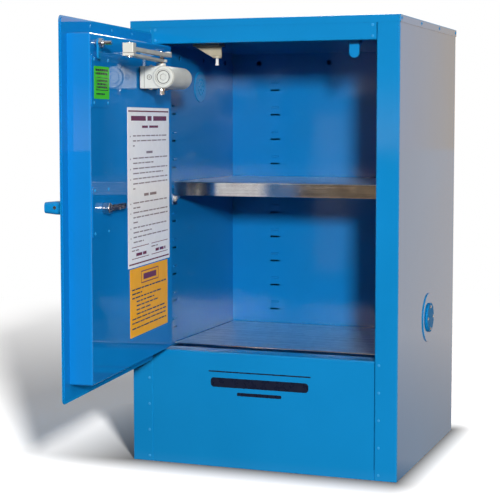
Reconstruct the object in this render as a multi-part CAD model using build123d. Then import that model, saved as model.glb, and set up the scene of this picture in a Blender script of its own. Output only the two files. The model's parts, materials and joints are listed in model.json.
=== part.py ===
from build123d import *
import math
import os

# Flammable storage cabinet, 30 litre indoor size, double-walled folded steel.
# Frame: millimetres, +Z up, X to the right along the front, +Y to the back.
# The origin is the centre of the cabinet's footprint, on the floor.

# ---- cabinet ----
WIDTH = 500.0
DEPTH = 450.0
HEIGHT = 800.0
SHEET = 1.2              # thickness of every folded sheet
WALL = 42.0              # outer face to inner face of the double wall
SILL_Z = 208.0           # top of the front sill
LID_FLANGE = 13.0
SEAM_BEND = 3.0          # outer bend radius where stile turns into jamb

BODY_X = WIDTH / 2 - SHEET       # outer faces under the lid flange
BODY_Y = DEPTH / 2 - SHEET
ROOM_X = WIDTH / 2 - WALL        # inner faces of the compartment
ROOM_Y = DEPTH / 2 - WALL
ROOM_TOP = HEIGHT - WALL
JAMB_Y = -ROOM_Y - SHEET         # where jamb, sill and lintel meet the liner

# ---- sump, shelves and their slots ----
SUMP_FLOOR = 43.2
SUMP_TOP = 192.0
SHELF_X = ROOM_X - 3.0
SHELF_FRONT = -132.0
SHELF_BACK = ROOM_Y - 3.0
SHELF_LIP = 25.0
UPPER_SHELF_Z = 508.0
LOWER_SHELF_Z = 205.5
SLOT_FIRST_Z = 234.0
SLOT_PITCH = 50.0
SLOT_COUNT = 10
SLOT_SIZE = (20.0, 3.2)
SIDE_SLOT_Y = -123.0
BACK_SLOT_X = 115.0
PRESSED_LIP_RISE = 15.0
PRESSED_LIP_R = 2.0
CLIP_SLOT_Z = SLOT_FIRST_Z + 5 * SLOT_PITCH

# ---- vents: one high on the left, one low on the right ----
VENT_Y = 4.0
VENT_Z = {"left": 687.0, "right": 257.0}
VENT_SIDE = {"left": -1, "right": 1}
DUCT_R = 23.0
COWL_R = 45.5
COWL_T = 1.8
VENT_CAP_R = 27.0
VENT_CAP_T = 3.2

# ---- door: u runs from the hinge to the free edge, n into the cabinet when shut ----
DOOR_ANGLE = 84.3
PIVOT_X = -ROOM_X
DOOR_GAP = 4.4           # hinge axis to the cabinet's front face
PIVOT_Y = -BODY_Y - DOOR_GAP
KNUCKLE_R = 3.1
HINGE_PIN_R = 1.55
PIN_PLAY = 0.05
KNUCKLE_COUNT = 27
DOOR_U0 = 3.6
SKIN_U1 = 433.0
SKIN_Z = (188.5, 778.5)
SKIN_N = 0.6
PAN_U1 = 406.0
PAN_Z = (215.0, 753.5)
PAN_N = 40.0
PAN_FLANGE = 22.0
PAN_BEND = 3.0
PLATE_Z = (481.0, 681.0)

# ---- handle and latch, places on the door ----
HANDLE_U, HANDLE_Z = 354.0, 485.5
HANDLE_REACH = -54.0
SPINDLE_R = 4.5
LATCH_U, LATCH_Z = 384.0, 738.5
LATCH_PIN_R = 3.2
CRANK_ARM = 12.0
CRANK_N = (15.0, 19.0)
LINK_N = (20.0, 23.0)
LINK_WIDTH = 10.0
CRANK_PIN_R = 2.0

# ---- door closer, places on the door ----
CLOSER_U = (83.0, 184.0)
CLOSER_Z = 693.0
CLOSER_R = 18.3
CLOSER_N = 83.8          # axis of the round half
CLOSER_BASE_N = 42.2
CLOSER_SEAM_N = 50.5      # where the cover meets the body
CLOSER_VALVE_N = 59.3
PINION_U, PINION_N = 168.0, 74.8
PINION_R = 5.0
ELBOW_U, ELBOW_N = 393.0, 98.3
ARM_Z = (718.0, 722.0)
FOREARM_Z = (726.4, 732.4)
FOREARM_TIP = (160.0, 84.8)

DOOR = Location((PIVOT_X, PIVOT_Y, 0), (0, 0, -DOOR_ANGLE))


# ---- helpers ----
def block(x, y, z):
    """Box between three (low, high) pairs."""
    size = [abs(high - low) for low, high in (x, y, z)]
    middle = [(low + high) / 2 for low, high in (x, y, z)]
    return Pos(*middle) * Box(*size)


def rod_x(y, z, radius, x):
    return Pos((x[0] + x[1]) / 2, y, z) * Rot(0, 90, 0) * Cylinder(radius, abs(x[1] - x[0]))


def rod_y(x, z, radius, y):
    return Pos(x, (y[0] + y[1]) / 2, z) * Rot(90, 0, 0) * Cylinder(radius, abs(y[1] - y[0]))


def rod_z(x, y, radius, z):
    return Pos(x, y, (z[0] + z[1]) / 2) * Cylinder(radius, abs(z[1] - z[0]))


def hexagon_z(x, y, across_corners, z):
    face = Pos(x, y, z[0]) * RegularPolygon(across_corners / 2, 6)
    return extrude(face, z[1] - z[0])


def nearest(shape, point):
    return min(shape.vertices(), key=lambda v: (Vector(v.X, v.Y, v.Z) - point).length)


def folded(points, thickness, bend):
    """Section of a folded sheet; the sheet lies to the left of the path."""
    path = [Vector(x, y, 0) for x, y in points]
    normals = [(b - a).normalized().rotate(Axis.Z, 90) for a, b in zip(path, path[1:])]
    far = [path[0] + normals[0] * thickness]
    for corner, before, after in zip(path[1:-1], normals, normals[1:]):
        far.append(corner + (before + after) * (thickness / (1 + before.dot(after))))
    far.append(path[-1] + normals[-1] * thickness)
    face = make_face(Polyline(*path, *reversed(far), close=True))
    for i in range(1, len(path) - 1):
        left_turn = normals[i - 1].cross(normals[i]).Z > 0
        near_r, far_r = (bend, bend - thickness) if left_turn else (bend - thickness, bend)
        face = fillet(nearest(face, path[i]), near_r)
        face = fillet(nearest(face, far[i]), far_r)
    return face


def channel(x, y, z, open_along, thickness=SHEET):
    """U-shaped spacer: a box with its inside cut out right through along one axis."""
    spans = [list(x), list(y), list(z)]
    inner = [[low + thickness, high - thickness] for low, high in spans]
    run, mouth = open_along
    inner[run] = [spans[run][0] - 1, spans[run][1] + 1]
    inner[mouth][0] = spans[mouth][0] - 1
    return block(*spans) - block(*inner)


def rivet(radius, height):
    """Low domed head, base at the origin, pointing up."""
    ball_r = (radius ** 2 + height ** 2) / (2 * height)
    ball = Pos(0, 0, height - ball_r) * Sphere(ball_r)
    return ball & Pos(0, 0, height / 2) * Cylinder(radius * 1.2, height)


def facing(axis, sign):
    """Rotation that turns +Z to point along the signed axis."""
    return {"X": Rot(0, 90 * sign, 0), "Y": Rot(-90 * sign, 0, 0), "Z": Rot(0, 0, 0)}[axis]


def save(name, *shapes):
    solids = [solid for shape in shapes for solid in shape.solids()]
    export_step(Compound(children=solids), f"parts/{name}.step")


def save_on_door(name, *shapes):
    save(name, *[DOOR * shape for shape in shapes])


# ---- outer shell ----
def side_panel(sign):
    path = [(BODY_X - 16, BODY_Y), (BODY_X, BODY_Y), (BODY_X, -BODY_Y), (ROOM_X, -BODY_Y),
            (ROOM_X, JAMB_Y)]
    section = folded(path[::-1], SHEET, SEAM_BEND)
    panel = extrude(section, HEIGHT - SHEET)
    name = "right" if sign > 0 else "left"
    panel = panel if sign > 0 else mirror(panel, Plane.YZ)
    hole = rod_x(VENT_Y, VENT_Z[name], DUCT_R, (sign * (ROOM_X + 20), sign * (BODY_X + 5)))
    return panel - hole


def back_panel():
    x = BODY_X - SEAM_BEND
    return block((-x, x), (BODY_Y - 2 * SHEET, BODY_Y - SHEET), (0, HEIGHT - SHEET))


def back_panel_rivets():
    head = facing("Y", 1) * rivet(3.5, 1.2)
    heights = [40 + 90 * i for i in range(9)]
    return [Pos(s * (BODY_X - 8), BODY_Y, z) * head for s in (-1, 1) for z in heights]


def top_lid():
    outer = block((-WIDTH / 2, WIDTH / 2), (-DEPTH / 2, DEPTH / 2), (HEIGHT - LID_FLANGE, HEIGHT))
    upright = outer.edges().filter_by(Axis.Z)
    rim = outer.faces().sort_by(Axis.Z)[-1].edges()
    outer = fillet(upright + rim, 1.6)
    inner = block((-BODY_X, BODY_X), (-BODY_Y, BODY_Y), (0, HEIGHT - SHEET))
    return outer - inner


def lid_rivets():
    z = HEIGHT - LID_FLANGE / 2
    return [Pos(s * WIDTH / 2, y, z) * facing("X", s) * rivet(3.4, 1.5)
            for s in (-1, 1) for y in (-216, -72, 72, 216)]


def header_panel():
    path = [(-BODY_Y, HEIGHT - SHEET), (-BODY_Y, ROOM_TOP), (JAMB_Y, ROOM_TOP)]
    section = Plane.YZ.offset(-ROOM_X) * folded(path, SHEET, 2.4)
    return extrude(section, 2 * ROOM_X)


def lower_front_panel():
    path = [(JAMB_Y, SILL_Z), (-BODY_Y, SILL_Z), (-BODY_Y, 0)]
    section = Plane.YZ.offset(-ROOM_X) * folded(path, SHEET, 2.4)
    return extrude(section, 2 * ROOM_X)


def front_spot_studs():
    head = facing("Y", -1) * Pos(0, 0, 0.35) * Cone(2.6, 1.5, 0.7)
    stile = [(s * 216.0, 9.5 + 48.0 * i) for s in (-1, 1) for i in range(5)]
    header = [(s * 201.0, z) for s in (-1, 1) for z in (764.5, 783.0)]
    return [Pos(x, -BODY_Y, z) * head for x, z in stile + header]


def base_pan(*cut_by):
    x, y = BODY_X - SHEET, (-BODY_Y + SHEET, BODY_Y - 2 * SHEET)
    pan = block((-x, x), y, (0, 18))
    pan -= block((-x + SHEET, x - SHEET), (y[0] + SHEET, y[1] - SHEET), (SHEET, 20))
    for neighbour in cut_by:
        pan -= neighbour
    return pan


def base_runners():
    run = (-170, 170)
    return [channel((x - 20, x + 20), run, (SHEET, SUMP_FLOOR - SHEET), (1, 2)) for x in (-130, 130)]


def wall_spacers():
    z = (60, ROOM_TOP - 10)
    side = [channel((ROOM_X + SHEET, BODY_X - SHEET), (y - 12, y + 12), z, (2, 0)) for y in (-80, 80)]
    back = [channel((x - 15, x + 15), (ROOM_Y + SHEET, BODY_Y - 2 * SHEET), z, (2, 1)) for x in (-55, 55)]
    roof = [channel((-150, 150), (y - 14, y + 14), (ROOM_TOP + SHEET, HEIGHT - SHEET), (0, 2))
            for y in (-70, 90)]
    return side + [mirror(piece, Plane.YZ) for piece in side] + back + roof


# ---- inner liner ----
def slot_heights():
    return [SLOT_FIRST_Z + SLOT_PITCH * i for i in range(SLOT_COUNT)]


def side_liner(sign):
    wall = block((ROOM_X, ROOM_X + SHEET), (JAMB_Y, ROOM_Y + SHEET), (SUMP_TOP, ROOM_TOP + SHEET))
    wide, tall = SLOT_SIZE
    y = (SIDE_SLOT_Y - wide / 2, SIDE_SLOT_Y + wide / 2)
    for z in slot_heights():
        wall -= block((ROOM_X - 1, ROOM_X + 3), y, (z - tall / 2, z + tall / 2))
        lip = rod_y(ROOM_X, z + PRESSED_LIP_RISE, PRESSED_LIP_R, (y[0] + 2, y[1] - 2))
        wall += lip & block((ROOM_X - 4, ROOM_X + SHEET), y, (z, z + 30))
    for y in (-94, 23, 140):
        wall -= rod_x(y, ROOM_TOP - 19.5, 5, (ROOM_X - 1, ROOM_X + 3))
    name = "right" if sign > 0 else "left"
    wall -= rod_x(VENT_Y, VENT_Z[name], DUCT_R, (ROOM_X - 1, ROOM_X + 3))
    return wall if sign > 0 else mirror(wall, Plane.YZ)


def back_liner():
    wall = block((-ROOM_X, ROOM_X), (ROOM_Y, ROOM_Y + SHEET), (SUMP_TOP, ROOM_TOP + SHEET))
    wide, tall = SLOT_SIZE
    for column in (-BACK_SLOT_X, BACK_SLOT_X):
        x = (column - wide / 2, column + wide / 2)
        for z in slot_heights():
            wall -= block(x, (ROOM_Y - 1, ROOM_Y + 3), (z - tall / 2, z + tall / 2))
            lip = rod_x(ROOM_Y, z + PRESSED_LIP_RISE, PRESSED_LIP_R, (x[0] + 2, x[1] - 2))
            wall += lip & block(x, (ROOM_Y - 4, ROOM_Y + SHEET), (z, z + 30))
    for x in (-150, 0, 150):
        wall -= rod_y(x, ROOM_TOP - 19.5, 5, (ROOM_Y - 1, ROOM_Y + 3))
    return wall


def ceiling_liner():
    return block((-ROOM_X, ROOM_X), (JAMB_Y, ROOM_Y), (ROOM_TOP, ROOM_TOP + SHEET))


def sump_tray():
    out_x, out_y = ROOM_X + SHEET, ROOM_Y + SHEET
    tray = block((-out_x, out_x), (-out_y, out_y), (SUMP_FLOOR - SHEET, SUMP_TOP))
    tray += block((-ROOM_X, ROOM_X), (-out_y, -ROOM_Y), (SUMP_TOP, SILL_Z))
    return tray - block((-ROOM_X, ROOM_X), (-ROOM_Y, ROOM_Y), (SUMP_FLOOR, HEIGHT))


# ---- shelves ----
def shelf(top):
    outer = block((-SHELF_X, SHELF_X), (SHELF_FRONT, SHELF_BACK), (top - SHELF_LIP, top))
    long_edges = outer.faces().sort_by(Axis.Z)[-1].edges().filter_by(Axis.X)
    outer = fillet(long_edges, 1.8)
    x = SHELF_X - SHEET
    y = (SHELF_FRONT + SHEET, SHELF_BACK - SHEET)
    tray = outer - block((-x, x), y, (0, top - SHEET))
    hem = 11.0
    low = (top - SHELF_LIP, top - SHELF_LIP + SHEET)
    tray += block((-x, x), (y[0], y[0] + hem), low)
    tray += block((-x, x), (y[1] - hem, y[1]), low)
    return tray


def shelf_clip():
    """Clip in a wall slot, wall face at x = 0 and the room towards -x, ledge top at z = 0."""
    wide = (-9, 9)
    plate = block((-1.5, 0), wide, (-18, 1.8))
    ledge = block((-14, 0), wide, (-1.5, 0))
    gusset_face = make_face(Polyline((-1.5, -1.5), (-12, -1.5), (-1.5, -14), close=True))
    gusset = extrude(Plane.XZ.offset(0.75) * gusset_face, -1.5)
    tongue = block((-0.5, 3.2), wide, (0.3, 1.8))
    hook = block((1.7, 3.2), wide, (0.3, 7.0))
    return plate + ledge + gusset + tongue + hook


def upper_shelf_clips():
    z = UPPER_SHELF_Z - SHELF_LIP
    clip = shelf_clip()
    side = Pos(ROOM_X, SIDE_SLOT_Y, z) * clip
    back = [Pos(x, ROOM_Y, z) * Rot(0, 0, 90) * clip for x in (-BACK_SLOT_X, BACK_SLOT_X)]
    return [side, mirror(side, Plane.YZ)] + back


def lower_shelf_rests():
    z = LOWER_SHELF_Z - SHELF_LIP
    rests = []
    for y in (-110, 150):
        angle = block((ROOM_X - 14, ROOM_X), (y - 12, y + 12), (z - 20, z))
        angle -= block((ROOM_X - 20, ROOM_X - 1.5), (y - 20, y + 20), (z - 30, z - 1.5))
        rests += [angle, mirror(angle, Plane.YZ)]
    return rests


# ---- vents, modelled on the right wall and mirrored for the left ----
def vent_pieces(name):
    z = VENT_Z[name]
    cowl_x = (BODY_X, BODY_X + COWL_T)
    cowl = rod_x(VENT_Y, z, COWL_R, cowl_x)
    cowl = fillet(cowl.faces().sort_by(Axis.X)[-1].edges(), 0.8) - rod_x(VENT_Y, z, DUCT_R, (0, 300))
    cap_x = (cowl_x[1], cowl_x[1] + VENT_CAP_T)
    cap = rod_x(VENT_Y, z, VENT_CAP_R, cap_x)
    cap = fillet(cap.faces().sort_by(Axis.X)[-1].edges(), 1.0)
    duct_x = (ROOM_X, cowl_x[1])
    duct = rod_x(VENT_Y, z, DUCT_R, duct_x) - rod_x(VENT_Y, z, DUCT_R - 1.5, (0, 300))
    mesh = rod_x(VENT_Y, z, DUCT_R - 1.5, (226, 229))
    grille = rod_x(VENT_Y, z, 29.5, (ROOM_X - 2, ROOM_X))
    grille = fillet(grille.faces().sort_by(Axis.X)[0].edges(), 1.0)
    for ring, count, hole in ((7.0, 6, 2.2), (14.5, 12, 2.2)):
        for i in range(count):
            turn = math.radians(360 / count * i)
            y, zz = VENT_Y + ring * math.cos(turn), z + ring * math.sin(turn)
            mesh -= rod_x(y, zz, hole, (0, 300))
            grille -= rod_x(y, zz, hole + 0.4, (0, 300))
    screws = []
    for i in range(4):
        turn = math.radians(90 * i)
        y, zz = VENT_Y + 20.5 * math.cos(turn), z + 20.5 * math.sin(turn)
        head = Pos(cap_x[1], y, zz) * facing("X", 1) * rivet(2.9, 1.6)
        slot = block((cap_x[1] + 0.8, cap_x[1] + 3), (y - 0.45, y + 0.45), (zz - 4, zz + 4))
        screws.append(head - slot)
    pieces = {"cowls": [cowl], "caps": [cap], "ducts": [duct], "flash_arrestors": [mesh],
              "inner_grilles": [grille], "cap_screws": screws}
    if VENT_SIDE[name] < 0:
        pieces = {kind: [mirror(item, Plane.YZ) for item in made] for kind, made in pieces.items()}
    return pieces


# ---- ceiling fittings ----
def closer_ceiling_bracket():
    y = -166.0
    foot = block((-147, -96), (y - 12, y + 16), (ROOM_TOP - 3, ROOM_TOP))
    outline = Polyline((-147, ROOM_TOP - 3), (-96, ROOM_TOP - 3), (-96, 735), (-112, 735), close=True)
    web = extrude(Plane.XZ.offset(-y - 1.5) * make_face(outline), 3)
    return foot + web + rod_z(-104.5, y, 8, (734, 738))


def closer_ceiling_pin():
    return rod_z(-104.5, -166.0, 2.8, (723, 734)) + rod_z(-104.5, -166.0, 3.4, (721, 724))


def bracket_screws():
    head = Rot(180, 0, 0) * rivet(3.6, 2.2)
    return [Pos(x, -156.0, ROOM_TOP - 3) * head for x in (-138, -122)]


def strike_tab():
    y = (PIVOT_Y + 41.0, PIVOT_Y + 43.4)
    x = (149.5, 167.5)
    radius = (x[1] - x[0]) / 2
    z_round = 730.0 + radius
    plate = block(x, y, (z_round, ROOM_TOP)) + rod_y(sum(x) / 2, z_round, radius, y)
    foot = block(x, (y[0], y[0] + 16), (ROOM_TOP - 2.4, ROOM_TOP))
    return plate + foot


# ---- piano hinge, in the door's own frame with the door shut ----
def knuckle_spans():
    pitch = (PAN_Z[1] - PAN_Z[0]) / KNUCKLE_COUNT
    return [(PAN_Z[0] + pitch * i + 0.2, PAN_Z[0] + pitch * (i + 1) - 0.2) for i in range(KNUCKLE_COUNT)]


def hinge_leaf(u, first):
    """Leaf between two u values whose knuckles start at the first or the second span."""
    leaf = block(u, (4.2, 31.0), PAN_Z)
    for span in knuckle_spans()[first::2]:
        leaf += block(u, (1.7, 4.4), span) + rod_z(0, 0, KNUCKLE_R, span)
    return leaf - rod_z(0, 0, HINGE_PIN_R + PIN_PLAY, (0, HEIGHT))


def hinge_pin():
    return rod_z(0, 0, HINGE_PIN_R, (PAN_Z[0] - 0.5, PAN_Z[1] + 0.5))


# ---- door panels, in the door's own frame ----
def door_skin():
    skin = block((DOOR_U0, SKIN_U1), (SKIN_N, SKIN_N + SHEET), SKIN_Z)
    corners = skin.edges().filter_by(Axis.Y)
    skin = fillet(corners.group_by(Axis.X)[-1], 9.0)
    skin = fillet(skin.edges().filter_by(Axis.Y).group_by(Axis.X)[0], 3.0)
    return skin - rod_y(HANDLE_U, HANDLE_Z, SPINDLE_R + PIN_PLAY, (-5, 5))


def door_pan():
    outer = block((DOOR_U0, PAN_U1), (SKIN_N + SHEET, PAN_N), PAN_Z)
    outer = fillet(outer.edges().filter_by(Axis.Y) + outer.faces().sort_by(Axis.Y)[-1].edges(), PAN_BEND)
    inner = block((DOOR_U0 + SHEET, PAN_U1 - SHEET), (0, PAN_N - SHEET),
                  (PAN_Z[0] + SHEET, PAN_Z[1] - SHEET))
    inner = fillet(inner.edges().filter_by(Axis.Y), PAN_BEND - SHEET)
    flange = block((DOOR_U0, PAN_U1 + PAN_FLANGE), (SKIN_N + SHEET, SKIN_N + 2 * SHEET),
                   (PAN_Z[0] - PAN_FLANGE, PAN_Z[1] + PAN_FLANGE))
    flange = fillet(flange.edges().filter_by(Axis.Y).group_by(Axis.X)[-1], 6.0)
    pan = outer + flange - inner
    pan -= rod_y(HANDLE_U, HANDLE_Z, SPINDLE_R + PIN_PLAY, (PAN_N - 5, PAN_N + 5))
    return pan - rod_y(LATCH_U, LATCH_Z, LATCH_PIN_R + PIN_PLAY, (PAN_N - 5, PAN_N + 5))


def door_stiffeners():
    n = (SKIN_N + SHEET, PAN_N - SHEET)
    z = (PAN_Z[0] + 12, PAN_Z[1] - 12)
    return [channel((u - 16, u + 16), n, z, (2, 1)) for u in (120, 262)]


def door_lip_rivets():
    head = facing("Y", 1) * rivet(2.8, 1.1)
    z_rows = (PAN_Z[0] - 15, PAN_Z[1] + 15)
    return [Pos(u, SKIN_N + 2 * SHEET, z) * head for u in (108, 208, 308) for z in z_rows]


def access_plates():
    plate = block((321, 401), (PAN_N, PAN_N + 1), (-40, 40))
    plate = fillet(plate.edges().filter_by(Axis.Y), 5.0)
    drill = rod_y(HANDLE_U, HANDLE_Z, SPINDLE_R + PIN_PLAY, (PAN_N - 5, PAN_N + 5))
    return [Pos(0, 0, z) * plate - drill for z in PLATE_Z]


def access_plate_rivets():
    head = facing("Y", 1) * rivet(3.0, 1.4)
    return [Pos(u, PAN_N + 1, z + dz) * head for z in PLATE_Z for u in (331, 391) for dz in (-33, 33)]


def door_label(u, z, n=PAN_N):
    return block(u, (n, n + 0.3), z)


# ---- handle, in the door's own frame ----
def handle_rose():
    rose = rod_y(HANDLE_U, HANDLE_Z, 25.0, (-4.4, SKIN_N))
    rose = fillet(rose.faces().sort_by(Axis.Y)[0].edges(), 2.0)
    return rose - rod_y(HANDLE_U, HANDLE_Z, SPINDLE_R + PIN_PLAY, (-9, 5))


def rounded_rect(width, height, radius, n):
    """Rounded rectangle in the plane n, width along u and height along z."""
    return Plane((HANDLE_U, n, HANDLE_Z - 0.5), x_dir=(1, 0, 0), z_dir=(0, -1, 0)) * RectangleRounded(
        width, height, radius)


def handle_lever():
    neck = loft([rounded_rect(22, 22.5, 6, -5.0), rounded_rect(24, 21, 6, -36.0)])
    head = loft([rounded_rect(24, 21, 6, -36.0), rounded_rect(21, 17.5, 6, HANDLE_REACH)])
    tip_u = HANDLE_U - 108
    shaft = Plane((HANDLE_U, -46.5, HANDLE_Z - 0.5), x_dir=(0, 1, 0), z_dir=(-1, 0, 0))
    end = Plane((tip_u, -46.5, HANDLE_Z - 0.5), x_dir=(0, 1, 0), z_dir=(-1, 0, 0))
    bar = loft([shaft * RectangleRounded(14, 18.5, 5), end * RectangleRounded(10, 15, 4)])
    bar = fillet(bar.faces().sort_by(Axis.X)[0].edges(), 2.5)
    lever = neck + head + bar - rod_y(HANDLE_U, HANDLE_Z, SPINDLE_R, (-40, 0))
    return lever - rod_x(-36.0, HANDLE_Z, 2.6, (HANDLE_U + 10.4, HANDLE_U + 20))


def handle_grub_screw():
    body = rod_x(-36.0, HANDLE_Z, 2.6, (HANDLE_U + 10.4, HANDLE_U + 12.4))
    return body - rod_x(-36.0, HANDLE_Z, 1.3, (HANDLE_U + 11.4, HANDLE_U + 20))


def handle_spindle():
    return rod_y(HANDLE_U, HANDLE_Z, SPINDLE_R, (-40, 52))


def inner_release_lever():
    boss = rod_y(HANDLE_U, HANDLE_Z, 8.5, (PAN_N + 1.6, 53.0))
    boss = fillet(boss.faces().sort_by(Axis.Y)[-1].edges(), 1.5)
    bar = block((HANDLE_U - 76, HANDLE_U), (47.0, 51.5), (HANDLE_Z - 4.5, HANDLE_Z + 4.5))
    bar = fillet(bar.edges().filter_by(Axis.Y).group_by(Axis.X)[0], 3.5)
    return boss + bar - rod_y(HANDLE_U, HANDLE_Z, SPINDLE_R, (30, 52))


# ---- latch train inside the door, in the door's own frame ----
def crank(u, z, bore):
    arm = rod_y(u, z, 8.0, CRANK_N) + rod_y(u + CRANK_ARM, z, 5.0, CRANK_N)
    arm += block((u, u + CRANK_ARM), CRANK_N, (z - 5, z + 5))
    arm -= rod_y(u, z, bore, (0, 40))
    return arm + rod_y(u + CRANK_ARM, z, CRANK_PIN_R, (CRANK_N[1], LINK_N[1] + 1.5))


def latch_link():
    low = (HANDLE_U + CRANK_ARM, HANDLE_Z)
    high = (LATCH_U + CRANK_ARM, LATCH_Z)
    half = LINK_WIDTH / 2
    foot = block((low[0], high[0]), LINK_N, (low[1] - half, low[1] + half))
    upright = block((high[0] - half, high[0] + half), LINK_N, (low[1], high[1]))
    link = foot + upright + rod_y(high[0], low[1], half, LINK_N)
    for u, z in (low, high):
        link += rod_y(u, z, half, LINK_N)
    link -= rod_y(*low, CRANK_PIN_R + PIN_PLAY, (0, 40))
    return link - rod_y(*high, CRANK_PIN_R + 0.4, (0, 40))


def latch_boss():
    boss = rod_y(LATCH_U, LATCH_Z, 5.0, (PAN_N, 44.4))
    return boss - rod_y(LATCH_U, LATCH_Z, LATCH_PIN_R + PIN_PLAY, (30, 50))


def latch_spindle():
    return rod_y(LATCH_U, LATCH_Z, LATCH_PIN_R, (CRANK_N[0], 67.0))


def latch_cam():
    n = (45.0, 48.0)
    cam = rod_y(LATCH_U, LATCH_Z, 7.5, n) + rod_y(LATCH_U, LATCH_Z - 18, 6.5, n)
    cam += block((LATCH_U - 6.5, LATCH_U + 6.5), n, (LATCH_Z - 18, LATCH_Z))
    return cam - rod_y(LATCH_U, LATCH_Z, LATCH_PIN_R, (40, 60))


def latch_nut():
    face = Plane((LATCH_U, 48.0, LATCH_Z), x_dir=(1, 0, 0), z_dir=(0, 1, 0)) * RegularPolygon(8.0, 6)
    return extrude(face, 5.5) - rod_y(LATCH_U, LATCH_Z, LATCH_PIN_R, (40, 60))


# ---- door closer, in the door's own frame ----
def closer_section(n_low):
    """Flat-backed section with a round front, in the plane of n and z."""
    width = CLOSER_N - n_low
    flat = Pos(n_low + width / 2, CLOSER_Z) * Rectangle(width, 2 * CLOSER_R)
    return flat + Pos(CLOSER_N, CLOSER_Z) * Circle(CLOSER_R)


def closer_base_plate():
    inset = 7.0
    half = CLOSER_R - inset
    u = (CLOSER_U[0] + inset, CLOSER_U[1] - inset)
    return block(u, (PAN_N, CLOSER_BASE_N), (CLOSER_Z - half, CLOSER_Z + half))


def closer_body():
    body = extrude(Plane.YZ.offset(CLOSER_U[0]) * closer_section(CLOSER_BASE_N), CLOSER_U[1] - CLOSER_U[0])
    back_edges = body.faces().sort_by(Axis.Y)[0].edges()
    body = fillet(back_edges, 2.0)
    for u in CLOSER_U:
        seam = block((u - 0.7, u + 0.7), (CLOSER_SEAM_N - 0.5, CLOSER_SEAM_N + 0.5), (600, 800))
        body -= seam
    body += rod_z(PINION_U, PINION_N, 7.5, (CLOSER_Z, CLOSER_Z + CLOSER_R + 4.5))
    body -= rod_x(CLOSER_N, CLOSER_Z, 15.0, CLOSER_U)
    body -= rod_x(CLOSER_VALVE_N, CLOSER_Z, 4.3, (CLOSER_U[1] - 2.0, CLOSER_U[1] + 1))
    return body - rod_z(PINION_U, PINION_N, PINION_R + PIN_PLAY, (600, 800))


def closer_end_caps():
    caps = []
    for u, outward in ((CLOSER_U[1], 1), (CLOSER_U[0], -1)):
        plug = rod_x(CLOSER_N, CLOSER_Z, 15.0, (u - 6 * outward, u))
        rim = rod_x(CLOSER_N, CLOSER_Z, 17.3, (u, u + 3.0 * outward))
        rim = chamfer(rim.edges().filter_by(GeomType.CIRCLE).sort_by(Axis.X)[-1 if outward > 0 else 0], 0.8)
        dish = rod_x(CLOSER_N, CLOSER_Z, 13.5, (u + 1.6 * outward, u + 9 * outward))
        gap = rod_x(CLOSER_N, CLOSER_Z, 11.2, (u - 2.0 * outward, u + 9 * outward))
        button = rod_x(CLOSER_N, CLOSER_Z, 10.0, (u - 2.5 * outward, u + 1.4 * outward))
        face = Plane((u, CLOSER_N, CLOSER_Z), z_dir=(outward, 0, 0)) * RegularPolygon(6, 6)
        caps.append(plug + rim - dish - gap + button - extrude(face, 3))
    return caps


def closer_small_screws():
    n = CLOSER_VALVE_N
    valve = rod_x(n, CLOSER_Z, 3.3, (CLOSER_U[1] - 2.0, CLOSER_U[1]))
    face = Plane((CLOSER_U[1] - 1.0, n, CLOSER_Z), z_dir=(1, 0, 0)) * RegularPolygon(1.8, 4)
    valve -= extrude(face, 2)
    studs = []
    for u in (CLOSER_U[0] + 9, CLOSER_U[1] - 9):
        for side in (-1, 1):
            z = CLOSER_Z + side * CLOSER_R
            studs.append(rod_z(u, n, 2.6, (z, z + 1.8 * side)))
    return [valve] + studs


def closer_pinion():
    shaft = rod_z(PINION_U, PINION_N, PINION_R, (664.0, ARM_Z[1]))
    return shaft + rod_z(PINION_U, PINION_N, 8.5, (671.0, CLOSER_Z - CLOSER_R - 0.5))


def closer_pinion_nut():
    nut = hexagon_z(PINION_U, PINION_N, 15, (664.5, 671.0))
    return nut - rod_z(PINION_U, PINION_N, PINION_R, (600, 700))


def along(start, end, width, z, ahead=0.0):
    """Flat bar of constant width between two points of the (u, n) plane."""
    length = math.dist(start, end) + ahead
    turn = math.degrees(math.atan2(end[1] - start[1], end[0] - start[0]))
    bar = block((-ahead, length - ahead), (-width / 2, width / 2), z)
    return Pos(start[0], start[1], 0) * Rot(0, 0, turn) * bar


def closer_main_arm():
    pinion, elbow = (PINION_U, PINION_N), (ELBOW_U, ELBOW_N)
    arm = along(pinion, elbow, 14, ARM_Z) + rod_z(*pinion, 10, ARM_Z)
    pad = along(elbow, (ELBOW_U + 8.5, ELBOW_N + 0.9), 17, ARM_Z, ahead=8.5)
    return arm + pad - rod_z(*pinion, PINION_R, (600, 800)) - rod_z(*elbow, 3.0, (600, 800))


def closer_arm_bolt():
    head = hexagon_z(PINION_U, PINION_N, 11.0, (ARM_Z[1], ARM_Z[1] + 4))
    return head + rod_z(PINION_U, PINION_N, 3.0, (ARM_Z[1] + 4, ARM_Z[1] + 14))


def closer_elbow_pin():
    return rod_z(ELBOW_U, ELBOW_N, 3.0, (ARM_Z[0] - 2.2, 738.6)) + rod_z(
        ELBOW_U, ELBOW_N, 5.0, (ARM_Z[0] - 2.2, ARM_Z[0]))


def closer_forearm():
    elbow = (ELBOW_U, ELBOW_N)
    knuckle = along(elbow, (ELBOW_U + 8.5, ELBOW_N + 0.5), 17, (722.6, 737.4), ahead=8.5)
    upright = knuckle.edges().filter_by(Axis.Z)
    knuckle = fillet(upright, 1.5)
    bar = along(FOREARM_TIP, elbow, 9, FOREARM_Z)
    tip = along(FOREARM_TIP, elbow, 9, (FOREARM_Z[0], 735.0), ahead=5)
    tip &= rod_z(*FOREARM_TIP, 6.4, (700, 760))
    return knuckle + bar + tip - rod_z(*elbow, 3.0 + PIN_PLAY, (600, 800)) - rod_z(
        *FOREARM_TIP, 2.6, (600, 800))


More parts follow.
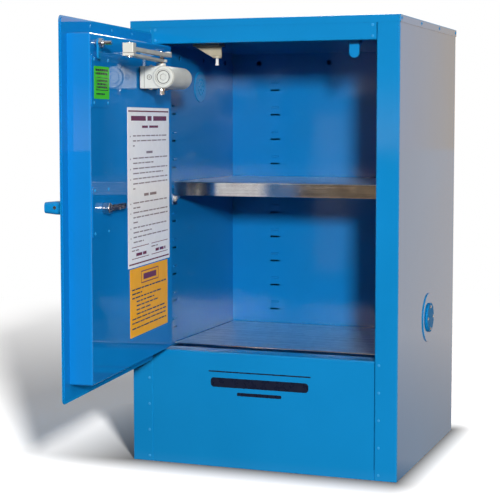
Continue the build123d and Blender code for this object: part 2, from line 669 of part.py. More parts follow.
# ---- letterless front decal ----
def front_decal():
    y = (-BODY_Y - 0.3, -BODY_Y)
    middle = -3.0
    rule = block((middle - 96, middle + 96), y, (172, 174.2))
    bar = block((middle - 92, middle + 92), y, (145, 162))
    bar = fillet(bar.edges().filter_by(Axis.Y), 6.0)
    foot = block((middle - 42, middle + 42), y, (131, 137))
    foot = fillet(foot.edges().filter_by(Axis.Y), 2.5)
    return [rule, bar, foot]


def build_cabinet():
    sides = {"left": side_panel(-1), "right": side_panel(1)}
    for name, panel in sides.items():
        save(f"side_panel_{name}", panel)
        save(f"liner_{name}", side_liner(VENT_SIDE[name]))
    left, right = vent_pieces("left"), vent_pieces("right")
    for kind in left:
        save(f"vent_{kind}", *left[kind], *right[kind])
    save("back_panel", back_panel())
    save("top_lid", top_lid())
    save("shell_rivets", *lid_rivets(), *back_panel_rivets())
    save("header_panel", header_panel())
    save("lower_front_panel", lower_front_panel())
    save("front_spot_studs", *front_spot_studs())
    save("base_pan", base_pan(*sides.values()))
    save("base_runners", *base_runners())
    save("wall_spacers", *wall_spacers())
    save("liner_back", back_liner())
    save("liner_ceiling", ceiling_liner())
    save("sump_tray", sump_tray())
    save("upper_shelf_clips", *upper_shelf_clips())
    save("lower_shelf_rests", *lower_shelf_rests())
    save("upper_shelf", shelf(UPPER_SHELF_Z))
    save("lower_shelf", shelf(LOWER_SHELF_Z))
    save("closer_ceiling_bracket", closer_ceiling_bracket(), *bracket_screws())
    save("closer_ceiling_pin", closer_ceiling_pin())
    save("strike_tab", strike_tab())
    save("front_decal", *front_decal())
    pivot = Pos(PIVOT_X, PIVOT_Y, 0)
    save("hinge_frame_leaf", pivot * hinge_leaf((0, 1.2), 0))
    save("hinge_pin", pivot * hinge_pin())


def build_door():
    save_on_door("hinge_door_leaf", hinge_leaf((2.4, DOOR_U0), 1))
    save_on_door("door_skin", door_skin())
    save_on_door("door_pan", door_pan())
    save_on_door("door_stiffeners", *door_stiffeners())
    save_on_door("door_rivets", *door_lip_rivets(), *access_plate_rivets())
    save_on_door("access_plates", *access_plates())
    save_on_door("label_white", door_label((20, 240), (378, 643)))
    save_on_door("label_yellow", door_label((32, 232), (262, 376)))
    save_on_door("label_green", door_label((326, 392), (654, 704), PAN_N + 1))
    save_on_door("latch_boss", latch_boss())
    save_on_door("handle_rose", handle_rose())


def build_handle_and_latch():
    save_on_door("handle_lever", handle_lever())
    save_on_door("handle_spindle", handle_spindle())
    save_on_door("handle_grub_screw", handle_grub_screw())
    save_on_door("inner_release_lever", inner_release_lever())
    save_on_door("handle_crank", crank(HANDLE_U, HANDLE_Z, SPINDLE_R))
    save_on_door("latch_link", latch_link())
    save_on_door("latch_crank", crank(LATCH_U, LATCH_Z, LATCH_PIN_R))
    save_on_door("latch_spindle", latch_spindle(), latch_nut())
    save_on_door("latch_cam", latch_cam())


def build_closer():
    save_on_door("closer_base_plate", closer_base_plate())
    save_on_door("closer_body", closer_body())
    save_on_door("closer_end_caps", *closer_end_caps(), *closer_small_screws())
    save_on_door("closer_pinion", closer_pinion())
    save_on_door("closer_arm_fasteners", closer_pinion_nut(), closer_arm_bolt())
    save_on_door("closer_main_arm", closer_main_arm())
    save_on_door("closer_elbow_pin", closer_elbow_pin())
    save_on_door("closer_forearm", closer_forearm())


os.makedirs("parts", exist_ok=True)
build_cabinet()
build_door()
build_handle_and_latch()
build_closer()
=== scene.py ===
"""Looks of a flammable storage cabinet: paint, metals, printed labels, studio and camera.

Everything is in metres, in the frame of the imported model. On the door, u runs from the
hinge axis to the free edge, n runs out of the door's inner face, and z is up.
"""
import json
import math
import random

import bmesh
import bpy
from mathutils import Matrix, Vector

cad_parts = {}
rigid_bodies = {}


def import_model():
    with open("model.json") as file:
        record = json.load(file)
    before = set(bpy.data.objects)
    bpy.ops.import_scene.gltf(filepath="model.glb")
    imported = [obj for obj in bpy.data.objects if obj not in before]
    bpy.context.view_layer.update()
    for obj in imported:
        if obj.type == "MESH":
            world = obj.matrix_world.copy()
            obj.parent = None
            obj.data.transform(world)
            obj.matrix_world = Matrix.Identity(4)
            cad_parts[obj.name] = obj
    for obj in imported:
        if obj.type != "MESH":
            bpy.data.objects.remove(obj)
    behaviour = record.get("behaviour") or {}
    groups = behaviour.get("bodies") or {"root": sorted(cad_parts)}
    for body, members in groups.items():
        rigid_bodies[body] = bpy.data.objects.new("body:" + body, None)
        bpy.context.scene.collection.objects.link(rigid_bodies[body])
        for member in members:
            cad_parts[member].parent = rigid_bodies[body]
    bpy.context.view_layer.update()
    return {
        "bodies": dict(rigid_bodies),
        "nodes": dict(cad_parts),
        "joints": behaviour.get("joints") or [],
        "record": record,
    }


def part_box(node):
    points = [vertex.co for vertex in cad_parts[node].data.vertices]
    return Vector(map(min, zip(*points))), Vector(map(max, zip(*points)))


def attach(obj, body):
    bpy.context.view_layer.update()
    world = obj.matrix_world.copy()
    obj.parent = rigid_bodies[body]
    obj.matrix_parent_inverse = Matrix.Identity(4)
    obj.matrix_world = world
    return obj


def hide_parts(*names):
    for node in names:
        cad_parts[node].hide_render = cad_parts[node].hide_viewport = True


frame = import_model()

MM = 0.001
UP = Vector((0, 0, 1))

# Camera, solved for the studio view of the front and the right side.
CAMERA_PLACE = (0.8323, -2.5365, 0.6178)
CAMERA_YAW = 20.23
CAMERA_PITCH = -4.38
CAMERA_LENS = 100.9
CAMERA_SHIFT_Y = -0.04

# Paint colours, linear.
BLUE = (0.0030, 0.238, 0.560)
# Darker than the body blue: painted shade inside the cabinet.
INNER_BLUE_PAINTED_SHADE = (0.0030, 0.170, 0.460)
# Darker than the body blue: painted shade on the door's inner side.
DOOR_BLUE_PAINTED_SHADE = (0.0030, 0.190, 0.530)
SATIN_BLUE = (0.006, 0.230, 0.560)
# Lighter than the body blue: a painted highlight on the front studs.
STUD_BLUE_PAINTED_HIGHLIGHT = (0.040, 0.340, 0.700)
CREAM = (0.66, 0.66, 0.60)
BEIGE = (0.50, 0.44, 0.31)
ZINC_DARK = (0.60, 0.60, 0.60)
ZINC_LIGHT = (0.94, 0.94, 0.92)
PLATE = (0.78, 0.79, 0.80)
STEEL = (0.20, 0.19, 0.18)
NYLON = (0.80, 0.80, 0.76)
BRASS_DARK = (0.10, 0.07, 0.03)
BRASS_LIGHT = (0.62, 0.47, 0.22)
LABEL_WHITE = (1.0, 0.98, 0.97)
LABEL_YELLOW = (1.0, 0.46, 0.008)
LABEL_GREEN = (0.060, 0.52, 0.030)
DECAL = (0.006, 0.010, 0.030)
MAROON = (0.20, 0.022, 0.030)
GREY = (0.30, 0.22, 0.22)
NEAR_BLACK = (0.014, 0.012, 0.012)

# Printed labels: height of the ink over the paper in metres, then shares of the label's width.
INK_LIFT = 0.00006
WORD_LENGTH = (0.05, 0.14)
WORD_GAP = 0.016
LINE_END = 0.02

# What reflections see around the cabinet, linear, and where it changes, in degrees.
WARM_BACKDROP = (1.14, 0.80, 0.40)
PALE_BACKDROP = (1.09, 0.88, 0.76)
BACKDROP_TURN = (11.5, 14.5)
HIGH_BACKDROP = (0.46, 0.51, 0.58)
CEILING = (0.42, 0.43, 0.45)
DARK_ROOM = (0.10, 0.068, 0.045)
WARM_STRIP = (0.90, 0.56, 0.29)
PALE_CARD = (1.60, 1.56, 1.48)
CARD_INNER = (17.4, 18.6)
CARD_OUTER = (34, 40)
FRONT_AMBIENT = (0.055, 0.055, 0.065)
BACK_AMBIENT = (0.30, 0.30, 0.31)
WHITE = (1.0, 1.0, 1.0)
BLACK = (0.0, 0.0, 0.0)

# Lights: place, watts (or sun strength) and size.
KEY = ((1.71, -4.04, 1.30), 196.0, 0.35)
LEFT_FILL = ((-3.0, 0.4, 1.3), 52.0, 1.2)
BACK_FILL = ((-0.6, 3.2, 2.8), 95.0, 1.4)
DOOR_FILL = ((1.60, -0.95, 0.95), 8.5, 0.5)
LID_FILL = ((0.3, 0.6, 2.4), 22.0, 1.2)
OVERHEAD = ((0.1, 0.4, 3.0), 9.0, 1.3)
SUN_PLACE = (1.064, -1.548, 0.69)
SUN_STRENGTH = 8.2
SUN_ANGLE = 5
CHEST = (0.0, 0.0, 0.4)
DOOR_MIDDLE = (-0.2, -0.45, 0.5)
LID_MIDDLE = (0, 0, 0.8)
FOOT = (0, 0, 0)

# Floor, linear: its paint, its glow to the camera and to the cabinet, and the shade at the foot.
FLOOR_PAINT = (0.92, 0.90, 0.875)
FLOOR_LIFT = 0.12
FLOOR_GLOW = (1.0, 0.80, 0.62)
FLOOR_RADIUS = 30.0
FLOOR_Z = -0.0005
SHADE_REACH = 0.20
SHADE_DEPTH = 0.84


# ---- places on the door ----
joints = {joint["name"]: joint for joint in frame["joints"]}
pivot = Vector(joints["door_hinge"]["pos_m"])
door_n = Vector(joints["handle_turn"]["axis"]).normalized()
door_u = door_n.cross(UP)


def door_point(u, n, z):
    return Vector((pivot.x, pivot.y, 0)) + door_u * u + door_n * n + UP * z


def door_extent(node):
    """(low, high) of a CAD node along u, n and z."""
    hinge = Vector((pivot.x, pivot.y, 0))
    places = [vertex.co - hinge for vertex in frame["nodes"][node].data.vertices]
    spans = [[place.dot(axis) for place in places] for axis in (door_u, door_n, UP)]
    return [(min(span), max(span)) for span in spans]


# ---- node trees ----
class Tree:
    """A material's or world's node tree with short ways to add and join nodes."""

    def __init__(self, owner):
        owner.use_nodes = True
        self.tree = owner.node_tree
        self.tree.nodes.clear()

    def add(self, kind, settings=None, **sockets):
        made = self.tree.nodes.new(kind)
        for key, value in (settings or {}).items():
            setattr(made, key, value)
        for key, value in sockets.items():
            self.put(made.inputs[key.replace("_", " ")], value)
        return made

    def put(self, socket, value):
        if isinstance(value, bpy.types.NodeSocket):
            self.tree.links.new(value, socket)
        else:
            socket.default_value = value

    def math(self, operation, *values):
        made = self.tree.nodes.new("ShaderNodeMath")
        made.operation = operation
        for socket, value in zip(made.inputs, values):
            self.put(socket, value)
        return made.outputs[0]

    def mix(self, factor, first, second, blend="MIX"):
        made = self.tree.nodes.new("ShaderNodeMix")
        made.data_type = "RGBA"
        made.blend_type = blend
        self.put(made.inputs[0], factor)
        self.put(made.inputs[6], colour(first))
        self.put(made.inputs[7], colour(second))
        return made.outputs[2]

    def spread(self, value, low, high, to_low, to_high):
        made = self.tree.nodes.new("ShaderNodeMapRange")
        for socket, number in zip(made.inputs, (value, low, high, to_low, to_high)):
            self.put(socket, number)
        return made.outputs[0]

    def noise(self, where, scale, detail=2.0, roughness=0.5):
        made = self.add("ShaderNodeTexNoise", Vector=where, Scale=scale, Detail=detail,
                        Roughness=roughness)
        return made.outputs[0]

    def here(self, stretch=(1, 1, 1)):
        """The point on the object in its own space, stretched along each axis."""
        coords = self.tree.nodes.new("ShaderNodeTexCoord").outputs["Object"]
        if stretch == (1, 1, 1):
            return coords
        return self.add("ShaderNodeMapping", Vector=coords, Scale=stretch).outputs[0]

    def facing(self):
        """The surface's normal in its own space."""
        return self.tree.nodes.new("ShaderNodeTexCoord").outputs["Normal"]

    def bump(self, height, strength, distance, normal=None):
        made = self.add("ShaderNodeBump", Height=height, Strength=strength, Distance=distance)
        if normal:
            self.put(made.inputs["Normal"], normal)
        return made.outputs[0]


def colour(value):
    return (*value, 1.0) if isinstance(value, tuple) and len(value) == 3 else value


def material(name, build, **numbers):
    """A material whose uniform numbers sit on the shader's own sockets."""
    made = bpy.data.materials.new(name)
    tree = Tree(made)
    shader = tree.tree.nodes.new("ShaderNodeBsdfPrincipled")
    for key, value in numbers.items():
        tree.put(shader.inputs[key.replace("_", " ")], colour(value))
    for key, value in build(tree).items():
        tree.put(shader.inputs[key], value)
    output = tree.tree.nodes.new("ShaderNodeOutputMaterial")
    tree.tree.links.new(shader.outputs[0], output.inputs[0])
    return made


# ---- materials ----
def enamel(name, tint, gloss=0.07, peel=0.02, wave=0.012):
    """Gloss powder coat: orange peel, slow waves in the sheet and faint handling haze."""
    def build(tree):
        here = tree.here()
        drift = tree.spread(tree.noise(here, 5.0, 3.0), 0.3, 0.7, 0.0, 1.0)
        lighter = tuple(min(1.0, part * 1.04 + 0.001) for part in tint)
        darker = tuple(part * 0.95 for part in tint)
        haze = tree.noise(here, 22.0, 5.0, 0.65)
        slow = tree.bump(tree.noise(here, 3.2, 1.0), wave, 0.02)
        fine = tree.bump(tree.noise(here, 420.0, 2.0), peel, 0.0006, slow)
        return {
            "Base Color": tree.mix(drift, darker, lighter),
            "Roughness": tree.spread(haze, 0.3, 0.75, gloss * 0.7, gloss * 1.6),
            "Normal": fine,
        }
    return material(name, build, IOR=1.52)


def galvanised(name):
    """Zinc-coated sheet: faint spangle under fine rolling streaks along x."""
    def build(tree):
        here = tree.here()
        grain = tree.add("ShaderNodeTexVoronoi", Vector=here, Scale=110.0).outputs["Color"]
        streaks = tree.noise(tree.here((1.5, 120.0, 420.0)), 1.0, 3.0, 0.6)
        shade = tree.mix(0.18, streaks, grain)
        facing = tree.add("ShaderNodeSeparateXYZ", Vector=tree.facing()).outputs[2]
        flat = tree.math("ABSOLUTE", facing)
        scuffs = tree.spread(tree.noise(here, 30.0, 4.0), 0.3, 0.7, -0.02, 0.04)
        return {
            "Base Color": tree.mix(tree.spread(shade, 0.3, 0.7, 0.0, 1.0), ZINC_DARK, ZINC_LIGHT),
            "Roughness": tree.math("ADD", tree.spread(flat, 0.3, 0.9, 0.11, 0.36), scuffs),
            "Normal": tree.bump(streaks, 0.22, 0.0003),
        }
    return material(name, build, Metallic=1.0)


def plated(name, tint, low, high, grain=240.0):
    """Zinc or nickel plate with faint machining marks and darker patches."""
    def build(tree):
        here = tree.here()
        cloud = tree.noise(here, 60.0, 4.0)
        marks = tree.noise(tree.here((1.0, 1.0, 6.0)), grain, 2.0)
        darker = tuple(part * 0.72 for part in tint)
        return {
            "Base Color": tree.mix(tree.spread(cloud, 0.35, 0.65, 0, 1), darker, tint),
            "Roughness": tree.spread(cloud, 0.3, 0.7, low, high),
            "Normal": tree.bump(marks, 0.12, 0.0003),
        }
    return material(name, build, Metallic=1.0)


def cast_paint(name, tint, metal=0.05):
    """Satin silver-cream paint over a casting, slightly pitted, with painted shade darkening its
    creases and recesses.
    """
    def build(tree):
        here = tree.here()
        pits = tree.noise(here, 700.0, 3.0, 0.6)
        cloud = tree.noise(here, 40.0, 4.0)
        darker = tuple(part * 0.86 for part in tint)
        # Painted shade: the colour darkens to this where ambient occlusion finds nearby surfaces, in
        # creases and recesses.
        painted_shade = tuple(part * 0.16 for part in tint)
        clean = tree.mix(tree.spread(cloud, 0.3, 0.7, 0, 1), darker, tint)
        nook = tree.add("ShaderNodeAmbientOcclusion", {"samples": 8}, Distance=0.004).outputs["AO"]
        return {
            "Base Color": tree.mix(tree.spread(nook, 0.35, 0.80, 0, 1), painted_shade, clean),
            "Roughness": tree.spread(cloud, 0.3, 0.7, 0.36, 0.50),
            "Normal": tree.bump(pits, 0.25, 0.0004),
        }
    return material(name, build, Metallic=metal, IOR=1.5, Specular_IOR_Level=0.35)


def vinyl(name, tint, gloss=0.16, shine=0.5):
    """Printed vinyl: faint mottling and a soft clear gloss."""
    def build(tree):
        here = tree.here()
        mottle = tree.noise(here, 90.0, 3.0)
        darker = tuple(part * 0.92 for part in tint)
        ripple = tree.bump(tree.noise(here, 45.0, 1.0), 0.06, 0.001)
        return {
            "Base Color": tree.mix(mottle, darker, tint),
            "Roughness": tree.spread(mottle, 0.3, 0.7, gloss, gloss * 1.7),
            "Normal": ripple,
        }
    return material(name, build, IOR=1.5, Specular_IOR_Level=shine)


def satin_enamel(name, tint):
    """Thick blue coat on small fittings: less shine, with painted shade darkening the colour where
    pieces meet.
    """
    def build(tree):
        here = tree.here()
        cloud = tree.noise(here, 45.0, 4.0)
        darker = tuple(part * 0.88 for part in tint)
        # Painted shade: the colour darkens to this where ambient occlusion finds nearby surfaces,
        # where pieces meet.
        painted_shade = tuple(part * 0.12 for part in tint)
        clean = tree.mix(tree.spread(cloud, 0.3, 0.7, 0, 1), darker, tint)
        nook = tree.add("ShaderNodeAmbientOcclusion", {"samples": 8}, Distance=0.0025).outputs["AO"]
        return {
            "Base Color": tree.mix(tree.spread(nook, 0.30, 0.72, 0, 1), painted_shade, clean),
            "Roughness": tree.spread(cloud, 0.3, 0.7, 0.40, 0.55),
            "Normal": tree.bump(tree.noise(here, 500.0, 2.0), 0.08, 0.0004),
        }
    return material(name, build, IOR=1.40, Specular_IOR_Level=0.04)


def woven_mesh(name):
    """Brass flash-arrestor gauze."""
    def build(tree):
        here = tree.here()
        weave = tree.add("ShaderNodeTexVoronoi", Vector=here, Scale=900.0).outputs["Distance"]
        return {
            "Base Color": tree.mix(weave, BRASS_DARK, BRASS_LIGHT),
            "Roughness": tree.spread(weave, 0.0, 0.8, 0.5, 0.28),
            "Normal": tree.bump(weave, 0.8, 0.0005),
        }
    return material(name, build, Metallic=1.0)


paints = {
    "blue_enamel": enamel("blue_enamel", BLUE, gloss=0.05),
    # The liner's coat is the body blue darkened: painted shade inside the cabinet.
    "liner_enamel": enamel("liner_enamel", INNER_BLUE_PAINTED_SHADE, gloss=0.12, peel=0.09, wave=0.02),
    "galvanised": galvanised("galvanised_sheet"),
    "zinc": plated("zinc_plate", PLATE, 0.14, 0.30),
    "dark_steel": plated("dark_steel", STEEL, 0.30, 0.50),
    "closer_silver": cast_paint("closer_silver", CREAM),
    "bracket_beige": cast_paint("bracket_beige", BEIGE),
    "white_nylon": vinyl("white_nylon", NYLON, 0.30),
    "label_white": vinyl("label_white", LABEL_WHITE, shine=0.35),
    "label_yellow": vinyl("label_yellow", LABEL_YELLOW, shine=0.06),
    "label_green": vinyl("label_green", LABEL_GREEN, shine=0.06),
    "decal_dark": vinyl("decal_dark", DECAL, 0.22),
    "brass_mesh": woven_mesh("brass_mesh"),
}
maroon_ink = vinyl("maroon_ink", MAROON)
grey_ink = vinyl("grey_ink", GREY)
black_ink = vinyl("black_ink", NEAR_BLACK)

# Nodes whose coat differs from their slot's.
# The door's inner side and access plates are the body blue darkened: painted shade.
mirror_enamel = enamel("door_enamel", DOOR_BLUE_PAINTED_SHADE, gloss=0.012, peel=0.003, wave=0.006)
special_paints = {
    "door_pan": mirror_enamel,
    "access_plates": mirror_enamel,
    "vent_caps": satin_enamel("satin_blue", SATIN_BLUE),
    # The front studs are a lighter blue, a painted highlight, with painted shade in their creases.
    "front_spot_studs": satin_enamel("stud_blue_painted_highlight", STUD_BLUE_PAINTED_HIGHLIGHT),
}


def paint_cad_nodes():
    for part in frame["record"]["subparts"]:
        mesh = frame["nodes"][part["node"]].data
        mesh.materials.clear()
        mesh.materials.append(special_paints.get(part["node"], paints[part["material_slot"]]))


# ---- printed labels, letterless ----
def add_quad(mesh, u, z, n, ink):
    corners = [(u[0], z[0]), (u[1], z[0]), (u[1], z[1]), (u[0], z[1])]
    face = mesh.faces.new([mesh.verts.new(door_point(a, n, b)) for a, b in corners])
    face.material_index = ink
    return face


def rounded_outline(u, z, radius, steps=5):
    centres = [(u[1] - radius, z[1] - radius, 0), (u[0] + radius, z[1] - radius, 90),
               (u[0] + radius, z[0] + radius, 180), (u[1] - radius, z[0] + radius, 270)]
    points = []
    for centre_u, centre_z, start in centres:
        for step in range(steps + 1):
            turn = math.radians(start + 90 * step / steps)
            points.append((centre_u + radius * math.cos(turn), centre_z + radius * math.sin(turn)))
    return points


class Label:
    """A vinyl label on the door's inner side, with its print as thin raised ink."""

    def __init__(self, node, paper, inks, seed):
        self.node = node
        self.span_u, self.span_n, self.span_z = door_extent(node)
        self.mesh = bmesh.new()
        self.materials = [paper] + inks
        self.chance = random.Random(seed)
        self.add_paper()

    def add_paper(self):
        outline = rounded_outline(self.span_u, self.span_z, 2.0 * MM)
        rings = [[self.mesh.verts.new(door_point(u, n, z)) for u, z in outline] for n in self.span_n]
        self.mesh.faces.new(rings[1])
        self.mesh.faces.new(rings[0][::-1])
        for index in range(len(outline)):
            after = (index + 1) % len(outline)
            self.mesh.faces.new([rings[0][index], rings[0][after], rings[1][after], rings[1][index]])

    def bar(self, left, right, top, height, ink):
        """A bar of ink; left and right are shares of the width, read from the free edge."""
        wide = self.span_u[1] - self.span_u[0]
        u = (self.span_u[1] - right * wide, self.span_u[1] - left * wide)
        add_quad(self.mesh, u, (self.span_z[1] - top - height, self.span_z[1] - top),
                 self.span_n[1] + INK_LIFT, ink)

    def words(self, left, right, top, height, ink):
        """A line of word-long dashes from left to right."""
        place = left
        while place < right - LINE_END:
            length = min(self.chance.uniform(*WORD_LENGTH), right - place)
            self.bar(place, place + length, top, height, ink)
            place += length + WORD_GAP

    def heading(self, shares, top, height, ink):
        """Bold blocks, each from one share of the width to another."""
        for left, right in shares:
            self.bar(left, right, top, height, ink)

    def frame(self, left, right, top, height, rule, ink):
        """A ruled box."""
        share = rule / (self.span_u[1] - self.span_u[0])
        self.bar(left, right, top, rule, ink)
        self.bar(left, right, top + height - rule, rule, ink)
        self.bar(left, left + share, top + rule, height - 2 * rule, ink)
        self.bar(right - share, right, top + rule, height - 2 * rule, ink)

    def done(self, name):
        data = bpy.data.meshes.new(name)
        bmesh.ops.recalc_face_normals(self.mesh, faces=self.mesh.faces)
        self.mesh.to_mesh(data)
        self.mesh.free()
        for paint in self.materials:
            data.materials.append(paint)
        piece = bpy.data.objects.new(name, data)
        bpy.context.scene.collection.objects.link(piece)
        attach(piece, "door")
        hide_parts(self.node)


def white_label():
    label = Label("label_white", paints["label_white"], [maroon_ink, grey_ink], seed=3)
    rule, text = 1, 2
    label.bar(0.02, 0.98, 5 * MM, 2.4 * MM, rule)
    label.bar(0.02, 0.98, 258 * MM, 2.4 * MM, rule)
    label.heading([(0.08, 0.42), (0.46, 0.56), (0.60, 0.93)], 14 * MM, 8 * MM, rule)
    label.heading([(0.33, 0.47), (0.50, 0.72)], 30 * MM, 4 * MM, rule)
    label.heading([(0.43, 0.58)], 73 * MM, 4 * MM, text)
    label.heading([(0.37, 0.48), (0.51, 0.67)], 144 * MM, 4.5 * MM, text)
    paragraphs = [(46, 3, 0.16), (83, 2, 0.60), (100, 2, 0.84), (117, 3, 0.17),
                  (157, 2, 0.28), (173, 3, 0.22), (198, 2, 0.55), (214, 2, 0.36)]
    for top, lines, last in paragraphs:
        label.bar(0.055, 0.07, (top + 1) * MM, 2 * MM, text)
        for line in range(lines):
            end = last if line == lines - 1 else 0.95
            label.words(0.12, end, (top + 8.2 * line) * MM, 2.0 * MM, text)
    for left, right in ((0.08, 0.48), (0.54, 0.95)):
        label.bar(left, right, 231 * MM, 1.2 * MM, rule)
        label.words(left, left + 0.16, 236 * MM, 2 * MM, text)
        label.words(left + 0.1, right - 0.06, 242 * MM, 5 * MM, rule)
        label.bar(left, right, 250 * MM, 1.2 * MM, rule)
    label.done("printed_label_white")


def yellow_label():
    label = Label("label_yellow", paints["label_yellow"], [maroon_ink, black_ink], seed=8)
    box, text = 1, 2
    label.frame(0.28, 0.74, 7 * MM, 21 * MM, 1.8 * MM, box)
    label.heading([(0.34, 0.68)], 12.5 * MM, 10 * MM, box)
    lines = [(34, 0.05, 0.95), (41, 0.05, 0.30), (48, 0.05, 0.80), (55, 0.16, 0.62), (62, 0.16, 0.74),
             (69, 0.16, 0.52), (76, 0.16, 0.93), (83, 0.05, 0.95), (90, 0.05, 0.95), (99, 0.05, 0.95)]
    for top, left, right in lines:
        label.words(left, right, top * MM, 2.3 * MM, text)
    label.done("printed_label_yellow")


def green_label():
    label = Label("label_green", paints["label_green"], [black_ink], seed=5)
    for top in (4, 9.5):
        label.words(0.1, 0.9, top * MM, 3.4 * MM, 1)
    label.frame(0.12, 0.9, 17 * MM, 20 * MM, 1.2 * MM, 1)
    for line in range(3):
        label.words(0.2, 0.84, (20.5 + 5 * line) * MM, 3.2 * MM, 1)
    label.words(0.14, 0.7, 41 * MM, 2.4 * MM, 1)
    label.done("printed_label_green")


# ---- studio ----
def degrees(span):
    return [math.radians(turn) for turn in span]


def backdrop_seen(tree, way):
    """Behind the cabinet: warm to the left, paler to the right, cooler higher up."""
    right_of_back = tree.math("ARCTAN2", way[0], way[1])
    paler = tree.spread(right_of_back, *degrees(BACKDROP_TURN), 0.0, 1.0)
    backdrop = tree.mix(paler, WARM_BACKDROP, PALE_BACKDROP)
    return tree.mix(tree.spread(way[2], 0.095, 0.14, 0.0, 1.0), backdrop, HIGH_BACKDROP)


def room_seen(tree, way):
    """In front of the cabinet: a dark room with one low strip, warm, and a pale card in it."""
    left, front = [tree.math("MULTIPLY", way[axis], -1) for axis in (0, 1)]
    left_of_front = tree.math("ARCTAN2", left, front)
    inner_side = tree.spread(left_of_front, *degrees(CARD_INNER), 0.0, 1.0)
    outer_side = tree.spread(left_of_front, *degrees(CARD_OUTER), 1.0, 0.0)
    low = tree.spread(way[2], -0.14, -0.10, 0.0, 1.0)
    high = tree.spread(way[2], -0.01, 0.03, 1.0, 0.0)
    strip = tree.mix(tree.math("MULTIPLY", inner_side, outer_side), WARM_STRIP, PALE_CARD)
    return tree.mix(tree.math("MULTIPLY", low, high), DARK_ROOM, strip)


def build_world():
    """White to the camera; in reflections, a bright warm backdrop behind and a dark room in front."""
    world = bpy.data.worlds.new("studio")
    bpy.context.scene.world = world
    tree = Tree(world)
    direction = tree.tree.nodes.new("ShaderNodeTexCoord").outputs["Generated"]
    way = tree.add("ShaderNodeSeparateXYZ", Vector=direction).outputs
    behind = tree.spread(way[1], -0.05, 0.45, 0.0, 1.0)
    lit = tree.mix(behind, room_seen(tree, way), backdrop_seen(tree, way))
    seen = tree.mix(tree.spread(way[2], 0.25, 0.8, 0.0, 1.0), lit, CEILING)
    rays = tree.tree.nodes.new("ShaderNodeLightPath").outputs
    ambient = tree.mix(behind, FRONT_AMBIENT, BACK_AMBIENT)
    soft = tree.mix(rays["Is Diffuse Ray"], seen, ambient)
    final = tree.mix(rays["Is Camera Ray"], soft, WHITE)
    background = tree.add("ShaderNodeBackground", Color=final)
    output = tree.tree.nodes.new("ShaderNodeOutputWorld")
    tree.tree.links.new(background.outputs[0], output.inputs[0])


def shine_on(light, things, only):
    """Light only these things, or everything but them."""
    group = bpy.data.collections.new(light.name + "_lights")
    for thing in things:
        group.objects.link(thing)
    light.light_linking.receiver_collection = group
    for entry in group.collection_objects:
        entry.light_linking.link_state = "INCLUDE" if only else "EXCLUDE"


def aimed_light(name, kind, place, aim, power, **shape):
    lamp = bpy.data.lights.new(name, kind)
    for key, value in shape.items():
        setattr(lamp, key, value)
    lamp.energy = power
    light = bpy.data.objects.new(name, lamp)
    light.location = place
    light.rotation_euler = (Vector(place) - Vector(aim)).to_track_quat("Z", "Y").to_euler()
    bpy.context.scene.collection.objects.link(light)
    return light


def area_light(name, light, aim):
    """One of the area lights listed at the top, aimed at a point."""
    place, power, size = light
    return aimed_light(name, "AREA", place, aim, power, size=size)


def build_lights(floor):
    """A key beside the camera, fills for the other sides, and the floor's own shadow light."""
    for name, light in (("key", KEY), ("left_fill", LEFT_FILL), ("back_fill", BACK_FILL)):
        shine_on(area_light(name, light, CHEST), [floor], only=False)
    door_fill = area_light("door_fill", DOOR_FILL, DOOR_MIDDLE)
    door_fill.visible_glossy = False
    shine_on(door_fill, list(frame["bodies"]["door"].children), only=True)
    lid_fill = area_light("lid_fill", LID_FILL, LID_MIDDLE)
    shine_on(lid_fill, [frame["nodes"]["top_lid"]], only=True)
    shadow = aimed_light("shadow_light", "SUN", SUN_PLACE, FOOT, SUN_STRENGTH,
                         angle=math.radians(SUN_ANGLE))
    overhead = area_light("overhead", OVERHEAD, FOOT)
    for light in (shadow, overhead):
        shine_on(light, [floor], only=True)


def outside(tree, place, span, slope_low, slope_high):
    """How far a place lies outside a span, with its own slope below and above it."""
    below = tree.math("MULTIPLY", tree.math("SUBTRACT", span[0], place), slope_low)
    above = tree.math("MULTIPLY", tree.math("SUBTRACT", place, span[1]), slope_high)
    return tree.math("MAXIMUM", tree.math("MAXIMUM", below, above), 0.0)


def contact_shade(tree, here):
    """Soft shade on the floor round the foot of the cabinet, reaching furthest to the left."""
    split = tree.add("ShaderNodeSeparateXYZ", Vector=here).outputs
    aside = outside(tree, split[0], cad_side("base_pan", 0), 0.8, 4.5)
    ahead = outside(tree, split[1], cad_side("base_pan", 1), 2.4, 3.0)
    reach = tree.math("SQRT", tree.math("ADD", tree.math("MULTIPLY", aside, aside),
                                        tree.math("MULTIPLY", ahead, ahead)))
    return tree.spread(reach, 0.0, SHADE_REACH, SHADE_DEPTH, 0.0)


def cad_side(node, axis):
    """Lowest and highest place of a CAD node along one axis."""
    low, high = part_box(node)
    return low[axis], high[axis]


def emission(tree, tint, strength=1.0):
    return tree.add("ShaderNodeEmission", Color=(*tint, 1), Strength=strength).outputs[0]


def mixed(tree, factor, first, second):
    """A mix of two shaders."""
    made = tree.add("ShaderNodeMixShader", Fac=factor)
    tree.tree.links.new(first, made.inputs[1])
    tree.tree.links.new(second, made.inputs[2])
    return made.outputs[0]


def floor_to_camera(tree, here, away):
    """Pale paint with shade at the foot, fading to pure white away from the cabinet."""
    matte = tree.add("ShaderNodeBsdfDiffuse", Color=(*FLOOR_PAINT, 1))
    near = tree.add("ShaderNodeAddShader")
    tree.tree.links.new(matte.outputs[0], near.inputs[0])
    tree.tree.links.new(emission(tree, WHITE, FLOOR_LIFT), near.inputs[1])
    grounded = mixed(tree, contact_shade(tree, here), near.outputs[0], emission(tree, BLACK))
    return mixed(tree, tree.spread(away, 0.75, 2.4, 0.0, 1.0), grounded, emission(tree, WHITE))


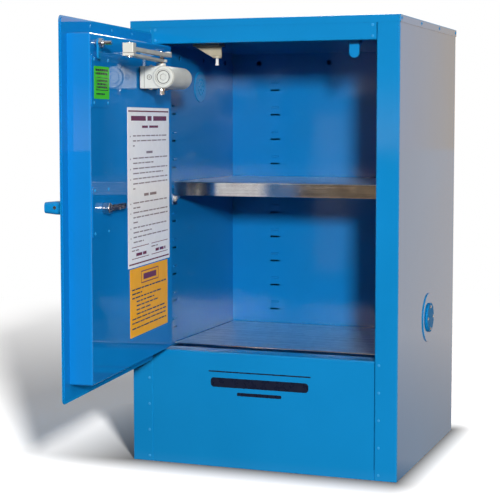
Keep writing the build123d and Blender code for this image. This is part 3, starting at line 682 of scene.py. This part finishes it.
def floor_to_cabinet(tree, here, away, rays):
    """What reflections and bounced light get: dark in front and bright behind, like the room."""
    depth = tree.add("ShaderNodeSeparateXYZ", Vector=here).outputs[1]
    far_side = tree.spread(away, 0.25, 1.6, 0.57, 1.02)
    rear = tree.spread(depth, -0.30, -0.05, 0.0, 1.0)
    mirrored = tree.math("ADD", tree.math("MULTIPLY", rear, far_side), 0.06)
    bounced = tree.math("ADD", tree.math("MULTIPLY", rear, 0.22), 0.02)
    strength = tree.add("ShaderNodeMix", Factor=rays["Is Diffuse Ray"])
    tree.put(strength.inputs[2], mirrored)
    tree.put(strength.inputs[3], bounced)
    return emission(tree, FLOOR_GLOW, strength.outputs[0])


def floor_paint():
    """One look for the camera, another for rays that leave the cabinet."""
    paint = bpy.data.materials.new("pale_floor")
    tree = Tree(paint)
    here = tree.here()
    away = tree.add("ShaderNodeVectorMath", {"operation": "LENGTH"}).outputs["Value"]
    tree.tree.links.new(here, away.node.inputs[0])
    rays = tree.tree.nodes.new("ShaderNodeLightPath").outputs
    glow = floor_to_cabinet(tree, here, away, rays)
    final = mixed(tree, rays["Is Camera Ray"], glow, floor_to_camera(tree, here, away))
    output = tree.tree.nodes.new("ShaderNodeOutputMaterial")
    tree.tree.links.new(final, output.inputs[0])
    return paint


def build_floor():
    """Wide disc just under the cabinet."""
    data = bpy.data.meshes.new("floor")
    mesh = bmesh.new()
    bmesh.ops.create_circle(mesh, cap_ends=True, segments=96, radius=FLOOR_RADIUS)
    mesh.to_mesh(data)
    mesh.free()
    floor = bpy.data.objects.new("floor", data)
    floor.location.z = FLOOR_Z
    bpy.context.scene.collection.objects.link(floor)
    data.materials.append(floor_paint())
    return floor


def build_camera():
    lens = bpy.data.cameras.new("camera")
    lens.lens = CAMERA_LENS
    lens.shift_y = CAMERA_SHIFT_Y
    lens.clip_end = 100.0
    camera = bpy.data.objects.new("camera", lens)
    camera.location = CAMERA_PLACE
    camera.rotation_euler = (math.radians(90 + CAMERA_PITCH), 0, math.radians(CAMERA_YAW))
    bpy.context.scene.collection.objects.link(camera)
    bpy.context.scene.camera = camera


def corners(box):
    return [list(corner) for corner in box]


paint_cad_nodes()
white_label()
yellow_label()
green_label()
build_world()
build_lights(build_floor())
build_camera()
bpy.context.scene.view_settings.view_transform = "Standard"
